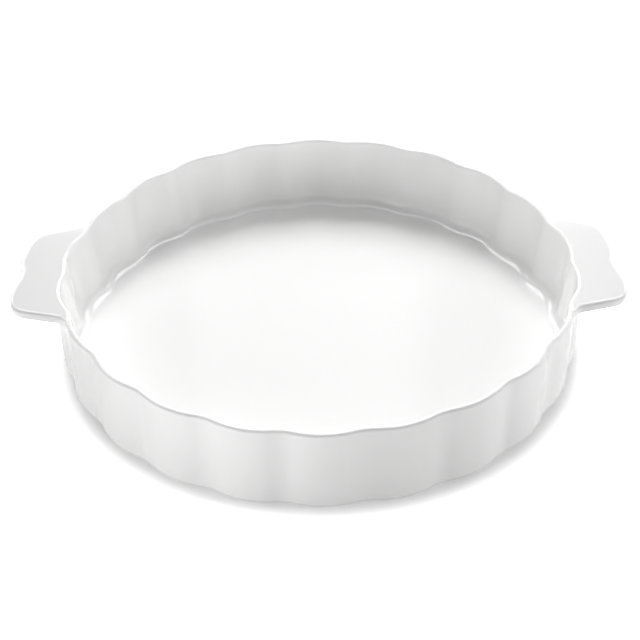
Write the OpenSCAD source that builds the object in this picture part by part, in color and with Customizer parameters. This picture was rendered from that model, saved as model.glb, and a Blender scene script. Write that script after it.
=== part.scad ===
// Round pie dish in white glazed ceramic, made in one piece: a flat floor, a low fluted
// wall with a rounded rim, and two flat tab handles whose ends repeat two of the flutes.
// Millimetres. The dish stands on z = 0, its centre is the z axis, the handles lie on x.

/* [Dish] */
// Diameter across the middle of the rim, between the deep and the shallow of the flutes
rim_diameter = 280; // [240:1:320]
// Height from the table to the top of the rim
height = 47.5; // [38:0.5:56]
// Thickness of the wall at the rim, which is rounded over its whole thickness
rim_thickness = 3.2; // [2.8:0.1:4.5]
// How far the outside of the wall leans in from the rim down to the table
outer_lean = 0.2; // [0:0.1:4]
// How far the inside of the wall leans in from the rim down to the floor
inner_lean = 4.4; // [2:0.1:8]
// Radius of the hollow between the wall and the floor
floor_hollow = 7; // [4:0.5:11]
// Thickness of the floor above the table, the foot included
floor_height = 4.5; // [3.5:0.1:7]
// Radius of the wall's outer edge at the table
foot_edge = 2; // [0.8:0.1:2.5]
// Width of the ring that the dish stands on
foot_width = 7; // [5:0.5:10]
// How far the floor's underside is raised above the table
foot_recess = 0.9; // [0.5:0.1:1.5]

/* [Flutes] */
// Number of flutes in half a turn, so that each handle has a hollow on its middle
flutes_per_half = 11; // [10:1:12]
// Depth of the flutes, from the crest to the hollow
flute_depth = 2.3; // [1.6:0.1:3]
// Radius of the hollow between two flutes
hollow_radius = 28; // [22:1:32]

/* [Handles] */
// How far the rim is drawn out at the handles
handle_pull = 3.4; // [0:0.1:4]
// Angle over which the rim runs out to the handle's middle
pull_turn = 30; // [26:1:40]
// How far the handle's end lies outside the middle of the rim
handle_reach = 24.6; // [20:0.2:30]
// Width of the handle where it leaves the rim
handle_width = 85; // [80:1:87]
// Angle between each side of the handle and its middle line
handle_taper = 15; // [8:1:20]
// Thickness of the handle
handle_thickness = 5.4; // [5:0.1:7]
// How far the handle's top lies under the top of the rim
handle_drop = 0.3; // [0.2:0.1:1]
// Radius of the handle's edges
handle_edge = 2; // [1:0.1:2.2]
// Radius of the handle's corners
handle_corner = 11; // [8:0.5:14]
// Radius of the hollow in the middle of the handle's end
handle_hollow = 35; // [28:1:40]
// Radius of the flare from the handle's side to the wall
handle_flare = 7.5; // [4:0.5:8.5]
// Radius of the hollow under the handle, between it and the wall
handle_root = 7; // [4:0.5:9]

/* [Display] */
// Colour of the glaze
glaze_colour = [0.95, 0.95, 0.94];

/* [Hidden] */

// plan of the flutes: each crest is an arc, each hollow an arc about a point outside
pitch = 180 / flutes_per_half;
half = pitch / 2;
rim_r = rim_diameter / 2;
lip_r = rim_thickness / 2;
crest_at = rim_r + flute_depth / 2;
hollow_at = rim_r - flute_depth / 2;
hollow_c = hollow_at + hollow_radius;
crest_r = (pow(crest_at, 2) + pow(hollow_c, 2) - 2 * hollow_c * cos(half) * crest_at
    - pow(hollow_radius, 2)) / (2 * (crest_at + hollow_radius - hollow_c * cos(half)));
crest_c = crest_at - crest_r;
crest_turn = atan2(hollow_c * sin(half), hollow_c * cos(half) - crest_c);
crest_half = atan2(crest_r * sin(crest_turn), crest_c + crest_r * cos(crest_turn));
hollow_half = half - crest_half;

// a point at a centre c, a radius r and an angle a, and the steps of an arc between angles
function at(c, r, a) = c + r * [cos(a), sin(a)];
function steps(a0, a1, n, from = 0) = [for (i = [from:n]) a0 + (a1 - a0) * i / n];

// the rim and the handle shift out together, most on the handle's middle line
function drawn(t) =
    let (u = min(1, abs(t - 180 * round(t / 180)) / pull_turn))
    at([0, 0], handle_pull * (1 + cos(180 * u)) / 2, t);

// middle line of the rim at angle t: the point and the direction straight out from it
function crest_radius(w) = crest_c * cos(w) + sqrt(pow(crest_r, 2) - pow(crest_c * sin(w), 2));
function hollow_dist(u) = hollow_c * cos(u) - sqrt(pow(hollow_radius, 2) - pow(hollow_c * sin(u), 2));
function line_at(t) =
    let (k = round(t / pitch), u = t - k * pitch, m = (k + (u > 0 ? 0.5 : -0.5)) * pitch)
    abs(u) < hollow_half
        ? let (p = at([0, 0], hollow_dist(u), t))
            [p + drawn(t), (at([0, 0], hollow_c, k * pitch) - p) / hollow_radius]
        : let (p = at([0, 0], crest_radius(t - m), t)) [p + drawn(t), (p - at([0, 0], crest_c, m)) / crest_r];

// section of the wall: s runs outward from the middle of the rim, z up from the table
lip_z = height - lip_r;
outer_tilt = atan(outer_lean / lip_z);
inner_tilt = atan(inner_lean / (lip_z - floor_height));
lip_out = at([0, lip_z], lip_r, -outer_tilt);
lip_in = at([0, lip_z], lip_r, 180 - inner_tilt);
function outer_s(z) = lip_out[0] - (lip_out[1] - z) * tan(outer_tilt);
function inner_s(z) = lip_in[0] - (lip_in[1] - z) * tan(inner_tilt);
hollow_z = floor_height + floor_hollow;
hollow_s = inner_s(hollow_z) - floor_hollow / cos(inner_tilt);
foot_s = outer_s(foot_edge) - foot_edge / cos(outer_tilt);
top_z = height - handle_drop;
under_z = top_z - handle_thickness;
top_a = asin((top_z - lip_z) / lip_r);

// from the floor up the inside and over the rim to the level of the handles' tops
inside = concat(
    [for (a = steps(-90, -inner_tilt, 3)) at([hollow_s, hollow_z], floor_hollow, a)],
    [for (a = [180 - inner_tilt, 135, 90, top_a]) at([0, lip_z], lip_r, a)]
);
// the rest of the rim, where there is no handle
lip_rest = [for (a = [top_a / 2, -outer_tilt]) at([0, lip_z], lip_r, a)];
// round the foot and onto the floor's underside
foot = concat(
    [for (a = steps(-outer_tilt, -90, 2)) at([foot_s, foot_edge], foot_edge, a)],
    [[foot_s - foot_width, 0], [foot_s - foot_width - foot_recess, foot_recess]]
);

// plan of half a handle, with the straight side's direction out of it
end_x = rim_r + handle_reach;
end_y = crest_at * sin(half);
dip_c = end_x - flute_depth + handle_hollow;
end_r = (pow(dip_c - end_x, 2) + pow(end_y, 2) - pow(handle_hollow, 2))
    / (2 * (handle_hollow - (dip_c - end_x)));
end_c = [end_x - end_r, end_y];
dip_half = atan2(end_y, dip_c - end_c[0]);
side_n = [sin(handle_taper), cos(handle_taper)];
side_at = side_n * [rim_r, handle_width / 2];
corner_a = asin((side_at - handle_corner - side_n * end_c) / (end_r - handle_corner)) - handle_taper;
corner_c = at(end_c, end_r - handle_corner, corner_a);
next_c = at([0, 0], crest_c, 3 * half);
flare_d = crest_r + lip_r + 0.3 + handle_flare;
flare_a = asin((side_at + handle_flare - side_n * next_c) / flare_d) - handle_taper;
flare_c = at(next_c, flare_d, flare_a);
side_from = at(corner_c, handle_corner, 90 - handle_taper);
side_to = at(flare_c, handle_flare, 270 - handle_taper);

// outline of half a handle, from its middle to the wall: points and directions out of them
half_outline = concat(
    [for (a = steps(180, 180 - dip_half, 3)) [at([dip_c, 0], handle_hollow, a), -at([0, 0], 1, a)]],
    [for (a = steps(-dip_half, corner_a, 6, 1)) [at(end_c, end_r, a), at([0, 0], 1, a)]],
    [for (a = steps(corner_a, 90 - handle_taper, 6, 1)) [at(corner_c, handle_corner, a), at([0, 0], 1, a)]],
    [for (f = steps(0, 1, 3, 1)) [side_from + f * (side_to - side_from), side_n]],
    [for (a = steps(270 - handle_taper, 180 + flare_a, 5, 1))
        [at(flare_c, handle_flare, a), -at([0, 0], 1, a)]]
);
last = len(half_outline) - 1;
outline = concat(
    [for (i = [last:-1:1]) [for (v = half_outline[i]) [v[0], -v[1]]]],
    half_outline
);
handle_ends = atan2(half_outline[last][0][1], half_outline[last][0][0]);

// one slice through the dish, as points in space: section points (s, z) on a line of the plan
function place(line, section) = [for (q = section) [each (line[0] + q[0] * line[1]), q[1]]];

// a slice without a handle
function plain_slice(t) = place(line_at(t), concat(inside, lip_rest, foot));

// a slice with a handle: o is the outline's point and its direction out
function handle_slice(o) =
    let (
        turn = atan2(o[0][1], o[0][0]),
        line = line_at(turn),
        edge = [o[0] + drawn(turn), o[1]],
        past = norm(edge[0]) - norm(line[0]) - lip_r,
        top_e = min(handle_edge, past + 0.8 * (lip_r - lip_r * cos(top_a))),
        room = past + lip_r - outer_s(under_z),
        low_e = min(handle_edge, 0.4 * room),
        low_z = max(low_e, 0.5),
        root = min(handle_root, 0.4 * room),
        root_z = min(handle_root, 1.2 + root),
        root_s = outer_s(under_z - root_z)
    )
    concat(
        place(line, inside),
        place(edge, [
            [-top_e, top_z], [-top_e * (1 - sqrt(0.5)), top_z - top_e * (1 - sqrt(0.5))],
            [0, top_z - top_e], [0, under_z + low_z],
            [-low_e * (1 - sqrt(0.5)), under_z + low_z * (1 - sqrt(0.5))], [-low_e, under_z]
        ]),
        place(line, [for (a = steps(90, 180 - outer_tilt, 3))
            [root_s + root * (1 + cos(a)), under_z - root_z * (1 - sin(a))]]),
        place(line, foot)
    );

// angles of the slices between the two handles
per_pitch = concat(
    steps(0, hollow_half, 2), steps(half - crest_half, half + crest_half, 8, 1),
    steps(pitch - hollow_half, pitch, 2, 1)
);
plain_angles = [for (k = [0:flutes_per_half - 1], i = [0:len(per_pitch) - 2])
    let (t = k * pitch + per_pitch[i]) if (t > handle_ends + 0.7 && t < 180 - handle_ends - 0.7) t];

half_slices = concat([for (o = outline) handle_slice(o)], [for (t = plain_angles) plain_slice(t)]);
slices = concat(half_slices, [for (sl = half_slices) [for (v = sl) [-v[0], -v[1], v[2]]]]);
first = [for (i = 0, n = 0; i <= len(slices); n = n + (i < len(slices) ? len(slices[i]) : 0), i = i + 1) n];

// faces between a slice that starts at point a and the next, that starts at b
function strip(a, b, n) = [for (j = [0:n - 2]) each [[a + j, a + j + 1, b + j + 1], [a + j, b + j + 1, b + j]]];
ni = len(inside);
nf = len(foot);
nh = len(half_slices[0]) - ni - nf;
// a handle's slice (h) meets a plain one (p): its extra points fan out to the plain one's
function join(h, p) = concat(
    strip(h, p, ni),
    [[h + ni - 1, p + ni, p + ni - 1]],
    [for (j = [0:1]) [h + ni - 1 + j, h + ni + j, p + ni]],
    [[h + ni + 1, p + ni + 1, p + ni]],
    [for (j = [2:3]) [h + ni - 1 + j, h + ni + j, p + ni + 1]],
    [[h + ni + 3, p + ni + 2, p + ni + 1]],
    [for (j = [4:nh]) [h + ni - 1 + j, h + ni + j, p + ni + 2]],
    strip(h + ni + nh, p + ni + 2, nf)
);
function turned(faces) = [for (f = faces) [f[0], f[2], f[1]]];

module dish() {
    count = len(slices);
    faces = concat(
        [for (i = [0:count - 1])
            let (a = first[i], b = first[(i + 1) % count], na = len(slices[i]), nb = len(slices[(i + 1) % count]))
            each (na == nb ? strip(a, b, na) : na > nb ? join(a, b) : turned(join(b, a)))],
        [[for (i = [0:count - 1]) first[i]]],
        [[for (i = [count - 1:-1:0]) first[i + 1] - 1]]
    );
    color(glaze_colour) polyhedron(points = [for (sl = slices) each sl], faces = faces, convexity = 6);
}

dish();
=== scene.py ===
import math

import bpy
from mathutils import Matrix, Vector

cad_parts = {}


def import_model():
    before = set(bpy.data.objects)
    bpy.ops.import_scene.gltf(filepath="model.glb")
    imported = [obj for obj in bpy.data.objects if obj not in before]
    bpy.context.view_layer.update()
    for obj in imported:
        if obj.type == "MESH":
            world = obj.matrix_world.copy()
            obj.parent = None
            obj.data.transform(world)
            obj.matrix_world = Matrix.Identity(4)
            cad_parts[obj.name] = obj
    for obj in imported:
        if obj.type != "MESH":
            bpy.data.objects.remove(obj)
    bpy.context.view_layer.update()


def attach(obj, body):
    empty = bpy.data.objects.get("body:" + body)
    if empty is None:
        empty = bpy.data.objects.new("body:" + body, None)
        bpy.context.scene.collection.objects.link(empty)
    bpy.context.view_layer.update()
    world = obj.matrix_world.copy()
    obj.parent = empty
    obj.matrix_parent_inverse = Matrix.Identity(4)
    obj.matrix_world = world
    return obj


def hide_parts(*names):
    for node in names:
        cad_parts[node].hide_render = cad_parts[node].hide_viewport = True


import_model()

MM = 0.001
DEGREES = 180 / math.pi
WITHIN = 0.99995  # keeps the finer mesh inside the solid's box

# Sizes of the dish in millimetres, the same as the solid's
RIM_R = 140.0
HEIGHT = 47.5
LIP_R = 1.6
OUTER_LEAN = 0.2
INNER_LEAN = 4.4
FLOOR_HOLLOW = 7.0
FLOOR_Z = 4.5
FOOT_EDGE = 2.0
FOOT_WIDTH = 7.0
FOOT_RECESS = 0.9
FLUTES = 22
FLUTE_DEPTH = 2.3
HOLLOW_R = 28.0
PULL = 3.4
PULL_TURN = math.radians(30)
REACH = 24.6
HANDLE_W = 85.0
TAPER = math.radians(15)
HANDLE_T = 5.4
DROP = 0.3
EDGE = 2.0
CORNER = 11.0
END_HOLLOW = 35.0
FLARE = 7.5
ROOT = 7.0
FLARE_GAP = 0.3

# Sizes of the handles' sections where the outline comes close to the wall
LEAST_EDGE = 0.15
EDGE_SHARE = 0.6
UNDER_EDGE_SHARE = 0.4
ROOT_SHARE = 0.5
ROOT_DEEPER = 1.2

# Soft merge of the rim into a handle's top, and the turns over which shapes run into each other
BLEND_R = 3.0
SOFT_R = 2.0
SOFT_TURN = math.radians(7)
FADE = math.radians(1.6)

# Points along each stretch of a slice, slices in one flute, and rings of the floor and underside
N_FILLET, N_WALL, N_LIP, N_BLEND, N_TOP, N_EDGE = 10, 7, 14, 4, 7, 5
N_SIDE, N_UNDER, N_ROOT, N_FOOT_WALL, N_FOOT_EDGE = 2, 5, 7, 7, 5
SLICES_A_FLUTE = 26
SLICE_GAP = 0.3
DISC_RINGS = (0.97, 0.9, 0.75, 0.5, 0.25)
EVEN_OVER = 0.25

# The photograph's camera: its place in rim radii from the middle of the rim, angles in degrees
PHOTO_PX = 640
SENSOR_MM = 36
FOCAL_PX = 1358.38
CAMERA_SIDE, CAMERA_FRONT, CAMERA_UP = -0.0026, 4.4437, 3.0553
CAMERA_DOWN, CAMERA_ROLL, CAMERA_TURN = 36.853, 0.821, -0.611

# The table, in metres: where its grey falls off, a painted pool of light around the dish, and the
# glow that makes it white for the camera, dimmed close to the dish so that it paints the edge of
# the dish's shadow
TABLE_SIZE = 40
# Light grey close to the dish and dark grey far off: a painted pool of light on the table
LIGHT_POOL_FROM, LIGHT_POOL_TO, LIGHT_POOL_NEAR, LIGHT_POOL_FAR = 0.25, 0.5, 0.9, 0.15
# Glow dimmed within these distances of a middle set a little off the dish's: a painted edge and
# falloff of the dish's shadow
GLOW_AT = (0.001, -0.002, 0)
GLOW_FROM, GLOW_TO, GLOW_LEAST = 0.139, 0.156, 0.12
GLOW_IN_GLOSS = 0.4

AIM_Z = 0.03  # height in metres that the lamps are turned to

# Plan of the flutes
PITCH = 2 * math.pi / FLUTES
HALF = PITCH / 2
CREST_AT = RIM_R + FLUTE_DEPTH / 2
HOLLOW_AT = RIM_R - FLUTE_DEPTH / 2
HOLLOW_C = HOLLOW_AT + HOLLOW_R
HOLLOW_X = HOLLOW_C * math.cos(HALF)
HOLLOW_Y = HOLLOW_C * math.sin(HALF)
CREST_R = ((CREST_AT ** 2 + HOLLOW_C ** 2 - 2 * HOLLOW_X * CREST_AT - HOLLOW_R ** 2)
           / (2 * (CREST_AT + HOLLOW_R - HOLLOW_X)))
CREST_C = CREST_AT - CREST_R
CREST_TURN = math.atan2(HOLLOW_Y, HOLLOW_X - CREST_C)
CREST_HALF = math.atan2(CREST_R * math.sin(CREST_TURN), CREST_C + CREST_R * math.cos(CREST_TURN))
HOLLOW_HALF = HALF - CREST_HALF


def at(c, r, a):
    """The point at distance r from c, in the direction a."""
    return (c[0] + r * math.cos(a), c[1] + r * math.sin(a))


def add(a, b):
    return (a[0] + b[0], a[1] + b[1])


def along(n, p):
    return n[0] * p[0] + n[1] * p[1]


def unit(a, sign=1):
    return (sign * math.cos(a), sign * math.sin(a))


def inward(p, n, d):
    return (p[0] - d * n[0], p[1] - d * n[1])


def between(a, b, f):
    return tuple(p + (q - p) * f for p, q in zip(a, b))


def span(a, b, n, first=0):
    """Even steps from a to b: n of them, counted from first."""
    return [a + (b - a) * i / n for i in range(first, n + 1)]


def smooth(x):
    x = min(1.0, max(0.0, x))
    return x * x * (3 - 2 * x)


def drawn(t):
    """Shift of the rim and the handle outwards at angle t, most on the handle's middle line."""
    u = min(1.0, abs(t - math.pi * round(t / math.pi)) / PULL_TURN)
    d = PULL * (1 + math.cos(math.pi * u)) / 2
    return (d * math.cos(t), d * math.sin(t))


def line_at(t):
    """Middle line of the rim at angle t: the point and the direction straight out from it."""
    k = round(t / PITCH)
    u = t - k * PITCH
    if abs(u) < HOLLOW_HALF:
        d = HOLLOW_C * math.cos(u) - math.sqrt(HOLLOW_R ** 2 - (HOLLOW_C * math.sin(u)) ** 2)
        p = at((0, 0), d, t)
        c = at((0, 0), HOLLOW_C, k * PITCH)
        return add(p, drawn(t)), ((c[0] - p[0]) / HOLLOW_R, (c[1] - p[1]) / HOLLOW_R)
    m = (k + (0.5 if u > 0 else -0.5)) * PITCH
    w = t - m
    d = CREST_C * math.cos(w) + math.sqrt(CREST_R ** 2 - (CREST_C * math.sin(w)) ** 2)
    p = at((0, 0), d, t)
    c = at((0, 0), CREST_C, m)
    return add(p, drawn(t)), ((p[0] - c[0]) / CREST_R, (p[1] - c[1]) / CREST_R)


# Section of the wall: s runs outward from the middle of the rim, z up from the table
LIP_Z = HEIGHT - LIP_R
OUTER_TILT = math.atan(OUTER_LEAN / LIP_Z)
INNER_TILT = math.atan(INNER_LEAN / (LIP_Z - FLOOR_Z))
LIP_OUT = at((0, LIP_Z), LIP_R, -OUTER_TILT)
LIP_IN = at((0, LIP_Z), LIP_R, math.pi - INNER_TILT)


def outer_s(z):
    return LIP_OUT[0] - (LIP_OUT[1] - z) * math.tan(OUTER_TILT)


def inner_s(z):
    return LIP_IN[0] - (LIP_IN[1] - z) * math.tan(INNER_TILT)


HOLLOW_Z = FLOOR_Z + FLOOR_HOLLOW
HOLLOW_S = inner_s(HOLLOW_Z) - FLOOR_HOLLOW / math.cos(INNER_TILT)
HOLLOW_TOP = HOLLOW_Z - FLOOR_HOLLOW * math.sin(INNER_TILT)
FOOT_S = outer_s(FOOT_EDGE) - FOOT_EDGE / math.cos(OUTER_TILT)
RECESS_S = FOOT_S - FOOT_WIDTH
FOOT_TOP = FOOT_EDGE - FOOT_EDGE * math.sin(OUTER_TILT)
TOP_Z = HEIGHT - DROP
UNDER_Z = TOP_Z - HANDLE_T
BELOW = UNDER_Z - ROOT - 1
BLEND_S = math.sqrt((LIP_R + BLEND_R) ** 2 - (TOP_Z + BLEND_R - LIP_Z) ** 2)
BLEND_A = math.atan2(TOP_Z + BLEND_R - LIP_Z, BLEND_S)
SOFT_Z = TOP_Z - SOFT_R
SOFT_IN = SOFT_Z + SOFT_R * math.sin(INNER_TILT)
SOFT_S = inner_s(SOFT_IN) + SOFT_R * math.cos(INNER_TILT)


def inner_wall(top):
    return [(inner_s(z), z) for z in span(HOLLOW_TOP, top, N_WALL, 1)][:-1]


FILLET = [at((HOLLOW_S, HOLLOW_Z), FLOOR_HOLLOW, a)
          for a in span(-math.pi / 2, -INNER_TILT, N_FILLET)]

# Inside of the wall with the rim's inner side
INSIDE = (FILLET + inner_wall(LIP_IN[1])
          + [at((0, LIP_Z), LIP_R, a) for a in span(math.pi - INNER_TILT, BLEND_A, N_LIP)])

# The same where the rim runs softly into a handle's top
SOFT = (FILLET + inner_wall(SOFT_IN)
        + [at((SOFT_S, SOFT_Z), SOFT_R, a)
           for a in span(math.pi - INNER_TILT, math.pi / 2, N_LIP + N_BLEND)])

# Outer side of the rim and the wall, down to just below a handle's root
PLAIN = ([at((0, LIP_Z), LIP_R, a)
          for a in span(BLEND_A, -OUTER_TILT, N_BLEND + N_TOP + N_EDGE, 1)]
         + [(outer_s(z), z)
            for z in span(LIP_OUT[1], BELOW, N_SIDE + N_EDGE + N_UNDER + N_ROOT, 1)])

# The rest of the outer wall, the foot's ring and the step up to the underside
FOOT = ([(outer_s(z), z) for z in span(BELOW, FOOT_TOP, N_FOOT_WALL, 1)][:-1]
        + [at((FOOT_S, FOOT_EDGE), FOOT_EDGE, a)
           for a in span(-OUTER_TILT, -math.pi / 2, N_FOOT_EDGE)]
        + [(FOOT_S - f * FOOT_WIDTH, 0) for f in (0.5, 0.98)]
        + [(RECESS_S - f * FOOT_RECESS, f * FOOT_RECESS) for f in (0.1, 0.9)]
        + [(RECESS_S - FOOT_RECESS - 0.1, FOOT_RECESS)])


def place(line, section):
    """Sets a section on the rim's line, square to it."""
    p, n = line
    return [(p[0] + s * n[0], p[1] + s * n[1], z) for s, z in section]


def plain_slice(t):
    return place(line_at(t), INSIDE + PLAIN + FOOT)


# Plan of half a handle
END_X = RIM_R + REACH
END_Y = CREST_AT * math.sin(HALF)
DIP_C = END_X - FLUTE_DEPTH + END_HOLLOW
END_R = ((DIP_C - END_X) ** 2 + END_Y ** 2 - END_HOLLOW ** 2) / (2 * (END_HOLLOW - (DIP_C - END_X)))
END_C = (END_X - END_R, END_Y)
DIP_HALF = math.atan2(END_Y, DIP_C - END_C[0])
SIDE_N = (math.sin(TAPER), math.cos(TAPER))
SIDE_AT = along(SIDE_N, (RIM_R, HANDLE_W / 2))
CORNER_A = math.asin((SIDE_AT - CORNER - along(SIDE_N, END_C)) / (END_R - CORNER)) - TAPER
CORNER_C = at(END_C, END_R - CORNER, CORNER_A)
NEXT_C = at((0, 0), CREST_C, 3 * HALF)
FLARE_D = CREST_R + LIP_R + FLARE_GAP + FLARE
FLARE_A = math.asin((SIDE_AT + FLARE - along(SIDE_N, NEXT_C)) / FLARE_D) - TAPER
FLARE_C = at(NEXT_C, FLARE_D, FLARE_A)
SIDE_FROM = at(CORNER_C, CORNER, math.pi / 2 - TAPER)
SIDE_TO = at(FLARE_C, FLARE, 1.5 * math.pi - TAPER)

# Its outline from the middle line to the wall: each point with the direction out of the handle
HALF_OUTLINE = (
    [(at((DIP_C, 0), END_HOLLOW, a), unit(a, -1)) for a in span(math.pi, math.pi - DIP_HALF, 14)]
    + [(at(END_C, END_R, a), unit(a)) for a in span(-DIP_HALF, CORNER_A, 20, 1)]
    + [(at(CORNER_C, CORNER, a), unit(a)) for a in span(CORNER_A, math.pi / 2 - TAPER, 24, 1)]
    + [(between(SIDE_FROM, SIDE_TO, f), SIDE_N) for f in span(0, 1, 14, 1)]
    + [(at(FLARE_C, FLARE, a), unit(a, -1))
       for a in span(1.5 * math.pi - TAPER, math.pi + FLARE_A, 16, 1)])
HANDLE_END = math.atan2(HALF_OUTLINE[-1][0][1], HALF_OUTLINE[-1][0][0])


def handle_slice(o, n):
    """A slice through a handle: o is the outline's point and n the direction out of it."""
    t = math.atan2(o[1], o[0])
    line = line_at(t)
    o = add(o, drawn(t))
    past = math.hypot(*o) - math.hypot(*line[0]) - LIP_R
    room = past + LIP_R - outer_s(UNDER_Z)
    top_e = min(EDGE, max(LEAST_EDGE, EDGE_SHARE * past))
    low_e = min(EDGE, UNDER_EDGE_SHARE * room)
    root = min(ROOT, ROOT_SHARE * room)
    root_z = min(ROOT, ROOT_DEEPER + root)
    root_s = outer_s(UNDER_Z - root_z)

    blend = [at((BLEND_S, TOP_Z + BLEND_R), BLEND_R, a)
             for a in span(BLEND_A - math.pi, -math.pi / 2, N_BLEND, 1)]
    soft = smooth((HANDLE_END - abs(t)) / SOFT_TURN)
    start = [between(a, b, soft)
             for a, b in zip(place(line, INSIDE + blend), place(line, SOFT))]
    inside, merge = start[:-N_BLEND], start[-N_BLEND:]

    top_to = (*inward(o, n, top_e), TOP_Z)
    top = [between(merge[-1], top_to, f) for f in span(0, 1, N_TOP, 1)]
    edge = [(*inward(o, n, top_e * (1 - math.sin(a))), TOP_Z - top_e * (1 - math.cos(a)))
            for a in span(0, math.pi / 2, N_EDGE, 1)]
    side = [(*o, z) for z in span(TOP_Z - top_e, UNDER_Z + low_e, N_SIDE, 1)]
    low = [(*inward(o, n, low_e * (1 - math.cos(a))), UNDER_Z + low_e * (1 - math.sin(a)))
           for a in span(0, math.pi / 2, N_EDGE, 1)]

    bend = place(line, [(root_s + root * (1 + math.cos(a)), UNDER_Z - root_z * (1 - math.sin(a)))
                        for a in span(math.pi / 2, math.pi - OUTER_TILT, N_ROOT - 2)])
    under = [between(low[-1], bend[0], f) for f in span(0, 1, N_UNDER, 1)]
    halfway = UNDER_Z - root_z - 0.5 * (UNDER_Z - root_z - BELOW)
    rest = place(line, [(outer_s(halfway), halfway), (outer_s(BELOW), BELOW)])

    middle = merge + top + edge + side + low + under + bend[1:] + rest
    fade = smooth((abs(t) - (HANDLE_END - FADE)) / FADE)
    middle = [between(a, b, fade) for a, b in zip(middle, place(line, PLAIN))]
    return inside + middle + place(line, FOOT)


def close(points, faces, slices, column, z, round_r, order):
    """Closes the floor or the underside with rings that turn from the fluted line into circles."""
    n, m = len(slices), len(slices[0])
    ring = [i * m + column for i in range(n)]
    for f in DISC_RINGS:
        new = [len(points) + i for i in range(n)]
        for sl in slices:
            x, y, _ = sl[column]
            even = round_r / math.hypot(x, y)
            g = f * (1 + (even - 1) * smooth((1 - f) / EVEN_OVER))
            points.append((x * g, y * g, z))
        faces += [(ring[i], ring[(i + 1) % n], new[(i + 1) % n], new[i])[::order] for i in range(n)]
        ring = new
    centre = len(points)
    points.append((0, 0, z))
    faces += [(ring[i], ring[(i + 1) % n], centre)[::order] for i in range(n)]


def build_dish():
    mirrored = [((p[0], -p[1]), (n[0], -n[1])) for p, n in reversed(HALF_OUTLINE[1:])]
    handle = [handle_slice(p, n) for p, n in mirrored + HALF_OUTLINE]
    step = PITCH / SLICES_A_FLUTE
    gap = SLICE_GAP * step
    first = math.ceil((HANDLE_END + gap) / step)
    last = math.floor((math.pi - HANDLE_END - gap) / step)
    half = handle + [plain_slice(k * step) for k in range(first, last + 1)]
    slices = half + [[(-x, -y, z) for x, y, z in sl] for sl in half]

    n, m = len(slices), len(slices[0])
    points = [p for sl in slices for p in sl]
    faces = []
    for i in range(n):
        a, b = i * m, ((i + 1) % n) * m
        faces += [(a + j, a + j + 1, b + j + 1, b + j) for j in range(m - 1)]
    close(points, faces, slices, 0, FLOOR_Z, RIM_R + HOLLOW_S, 1)
    close(points, faces, slices, m - 1, FOOT_RECESS, RIM_R + RECESS_S, -1)

    mesh = bpy.data.meshes.new("glazed_dish")
    mesh.from_pydata([tuple(c * MM * WITHIN for c in p) for p in points], [], faces)
    mesh.validate()
    mesh.shade_smooth()
    obj = bpy.data.objects.new("glazed_dish", mesh)
    bpy.context.scene.collection.objects.link(obj)
    return obj


class Maths:
    """Math nodes of one node tree, written as calls."""

    def __init__(self, tree):
        self.tree = tree

    def __call__(self, operation, *values):
        n = self.tree.nodes.new("ShaderNodeMath")
        n.operation = operation
        for i, v in enumerate(values):
            if isinstance(v, (int, float)):
                n.inputs[i].default_value = v
            else:
                self.tree.links.new(v, n.inputs[i])
        return n.outputs[0]

    def ramp(self, value, x0, x1, y0, y1):
        n = self.tree.nodes.new("ShaderNodeMapRange")
        n.interpolation_type = "SMOOTHSTEP"
        self.tree.links.new(value, n.inputs["Value"])
        for name, v in (("From Min", x0), ("From Max", x1), ("To Min", y0), ("To Max", y1)):
            n.inputs[name].default_value = v
        return n.outputs["Result"]

    def distance(self, point, centre):
        n = self.tree.nodes.new("ShaderNodeVectorMath")
        n.operation = "DISTANCE"
        n.inputs[1].default_value = centre
        self.tree.links.new(point, n.inputs[0])
        return n.outputs["Value"]


def glaze():
    m = bpy.data.materials.new("white_glaze")
    m.use_nodes = True
    s = m.node_tree.nodes["Principled BSDF"]
    s.inputs["Base Color"].default_value = (0.92, 0.92, 0.917, 1)
    s.inputs["Roughness"].default_value = 0.05
    s.inputs["IOR"].default_value = 1.55
    return m


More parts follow.
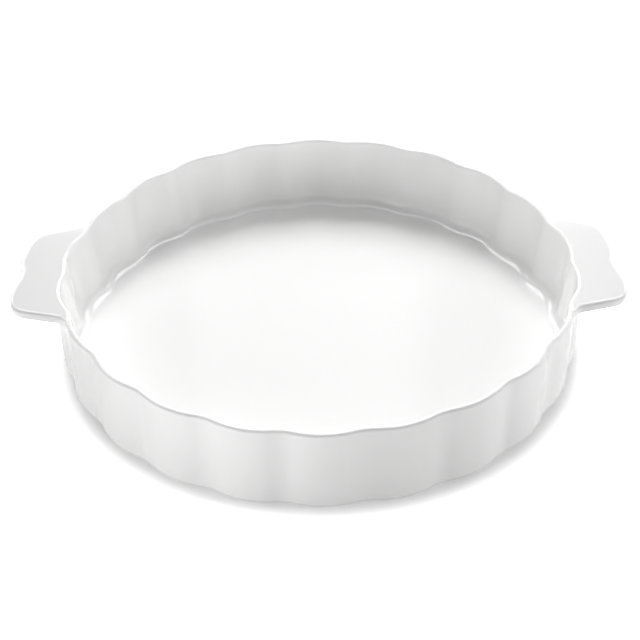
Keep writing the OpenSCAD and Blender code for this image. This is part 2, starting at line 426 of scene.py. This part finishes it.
def stage():
    """A table that is white to the camera and keeps the dish's rendered shadow close to it, with a
    painted edge to that shadow from the dimmed glow and a painted pool of light in its grey.
    """
    bpy.ops.mesh.primitive_plane_add(size=TABLE_SIZE, location=(0, 0, 0))
    floor = bpy.context.object
    floor.name = "floor"
    m = bpy.data.materials.new("floor_white")
    m.use_nodes = True
    t = m.node_tree
    maths = Maths(t)
    s = t.nodes["Principled BSDF"]
    s.inputs["Roughness"].default_value = 0.7
    s.inputs["Specular IOR Level"].default_value = 0.2
    place_m = t.nodes.new("ShaderNodeNewGeometry").outputs["Position"]
    # Base colour lighter close to the dish and darker far off: a painted pool of light on the
    # table, which the dish gets back as bounce
    painted_pool = maths.ramp(maths.distance(place_m, (0, 0, 0)), LIGHT_POOL_FROM, LIGHT_POOL_TO, LIGHT_POOL_NEAR, LIGHT_POOL_FAR)
    grey = t.nodes.new("ShaderNodeCombineColor")
    for channel in grey.inputs:
        t.links.new(painted_pool, channel)
    t.links.new(grey.outputs[0], s.inputs["Base Color"])

    path = t.nodes.new("ShaderNodeLightPath")
    # The camera's glow is weakest close to the dish and full farther out: it paints the edge and
    # falloff of the dish's shadow around the rendered shadow
    painted_shadow_glow = maths.ramp(maths.distance(place_m, GLOW_AT), GLOW_FROM, GLOW_TO, GLOW_LEAST, 1.0)
    strength = maths("ADD", maths("MULTIPLY", path.outputs["Is Camera Ray"], painted_shadow_glow),
                     maths("MULTIPLY", path.outputs["Is Glossy Ray"], GLOW_IN_GLOSS))
    glow = t.nodes.new("ShaderNodeEmission")
    glow.inputs["Color"].default_value = (1, 1, 1, 1)
    t.links.new(strength, glow.inputs["Strength"])
    both = t.nodes.new("ShaderNodeAddShader")
    t.links.new(s.outputs[0], both.inputs[0])
    t.links.new(glow.outputs[0], both.inputs[1])
    t.links.new(both.outputs[0], t.nodes["Material Output"].inputs["Surface"])
    floor.data.materials.append(m)


def world():
    """Faint light from above, and bright fields of the room that only the gloss shows."""
    w = bpy.data.worlds.new("studio")
    bpy.context.scene.world = w
    w.use_nodes = True
    t = w.node_tree
    maths = Maths(t)
    background = t.nodes["Background"]
    background.inputs["Color"].default_value = (1, 1, 1, 1)
    coord = t.nodes.new("ShaderNodeTexCoord")
    axes = t.nodes.new("ShaderNodeSeparateXYZ")
    t.links.new(coord.outputs["Generated"], axes.inputs[0])
    x, y, z = axes.outputs["X"], axes.outputs["Y"], axes.outputs["Z"]
    height = maths("MULTIPLY", maths("ARCSINE", z), DEGREES)
    level = maths("SQRT", maths("SUBTRACT", 1.0, maths("POWER", z, 2.0)))
    level = maths("MAXIMUM", level, 0.001)

    def panel(turn, low, high, strength, wide=45, soft=2):
        """A bright field: turn about z, from low to high, and half its width, in degrees."""
        a = math.radians(turn)
        across = maths("ADD", maths("MULTIPLY", x, math.cos(a)), maths("MULTIPLY", y, math.sin(a)))
        across = maths("MINIMUM", maths("DIVIDE", across, level), 1.0)
        side = maths("MULTIPLY", maths("ARCCOSINE", across), DEGREES)
        field = maths("MULTIPLY", maths.ramp(height, low - soft, low + soft, 0.0, 1.0),
                      maths.ramp(height, high - soft, high + soft, 1.0, 0.0))
        field = maths("MULTIPLY", field, maths.ramp(side, wide - soft, wide + soft, 1.0, 0.0))
        return maths("MULTIPLY", field, strength)

    shine = panel(90, -5, 50, 1.0, wide=85, soft=5)
    for more in (panel(90, 6, 32, 3.4, soft=0.5), panel(90, 34.8, 43, 0.6, wide=6, soft=0.8),
                 panel(90, 43, 85, 5.0, wide=60, soft=1), panel(222, 3, 16, 5.0, wide=12),
                 panel(0, 0, 30, 1.0, wide=30)):
        shine = maths("ADD", shine, more)
    faint = maths("MULTIPLY", maths("POWER", maths("MAXIMUM", z, 0.0), 2.0), 0.05)
    glossy = t.nodes.new("ShaderNodeLightPath").outputs["Is Glossy Ray"]
    strength = maths("ADD", maths("MULTIPLY", faint, maths("SUBTRACT", 1.0, glossy)),
                     maths("MULTIPLY", shine, glossy))
    t.links.new(strength, background.inputs["Strength"])


def lamp(name, place_m, size, energy, aim=(0, 0, AIM_Z), spread=180):
    """A soft lamp at a point in metres, turned to aim; energy is what arrives at any distance."""
    loc, aim = Vector(place_m), Vector(aim)
    d = bpy.data.lights.new(name, "AREA")
    d.size = size
    d.energy = energy * (loc - aim).length ** 2
    d.spread = math.radians(spread)
    o = bpy.data.objects.new(name, d)
    o.location = loc
    o.rotation_euler = (aim - loc).to_track_quat("-Z", "Y").to_euler()
    o.visible_glossy = False
    bpy.context.scene.collection.objects.link(o)


def area(name, turn, height, distance, size, energy):
    """A lamp that faces the dish: turn about z and height above the table in degrees."""
    el, az = math.radians(height), math.radians(turn)
    out = distance * math.cos(el)
    lamp(name, (out * math.cos(az), out * math.sin(az), distance * math.sin(el) + AIM_Z),
         size, energy)


def lamps():
    area("key_back", 90, 45, 1.2, 0.5, 8.3)
    lamp("key_front", (0, -0.4, 0.4), 0.2, 0.9)
    lamp("spot_above", (0.03, 0.0, 0.25), 0.12, 3.0)
    lamp("table_front", (-0.10, -0.38, 0.4), 0.2, 3.2, aim=(-0.10, -0.38, 0), spread=60)
    area("fill_left_front", 225, 5, 0.8, 0.2, 1.8)
    area("fill_left", 200, 5, 0.8, 0.2, 2.2)
    area("fill_right", 0, 30, 1.2, 0.5, 1.4)
    area("fill_right_low", 342, 5, 0.8, 0.2, 2.9)
    area("fill_right_front", 315, 5, 0.8, 0.2, 0.3)


def camera():
    pitch, roll = math.radians(CAMERA_DOWN), math.radians(CAMERA_ROLL)
    c, s = math.cos(math.radians(CAMERA_TURN)), math.sin(math.radians(CAMERA_TURN))
    px, py = -CAMERA_SIDE * RIM_R * MM, -CAMERA_FRONT * RIM_R * MM
    loc = Vector((c * px - s * py, s * px + c * py, (CAMERA_UP * RIM_R + HEIGHT) * MM))
    right, ahead, up = Vector((c, s, 0)), Vector((-s, c, 0)), Vector((0, 0, 1))
    look = ahead * math.cos(pitch) - up * math.sin(pitch)
    down = -ahead * math.sin(pitch) - up * math.cos(pitch)
    cx = right * math.cos(roll) + down * math.sin(roll)
    cy = right * math.sin(roll) - down * math.cos(roll)
    cam = bpy.data.cameras.new("camera")
    cam.sensor_width = SENSOR_MM
    cam.lens = FOCAL_PX * SENSOR_MM / PHOTO_PX
    o = bpy.data.objects.new("camera", cam)
    o.matrix_world = Matrix(((cx.x, cy.x, -look.x, loc.x), (cx.y, cy.y, -look.y, loc.y),
                             (cx.z, cy.z, -look.z, loc.z), (0, 0, 0, 1)))
    bpy.context.scene.collection.objects.link(o)
    bpy.context.scene.camera = o


bpy.context.scene.view_settings.view_transform = "Standard"
camera()
dish = build_dish()
dish.data.materials.append(glaze())
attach(dish, "root")
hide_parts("dish")
stage()
world()
lamps()
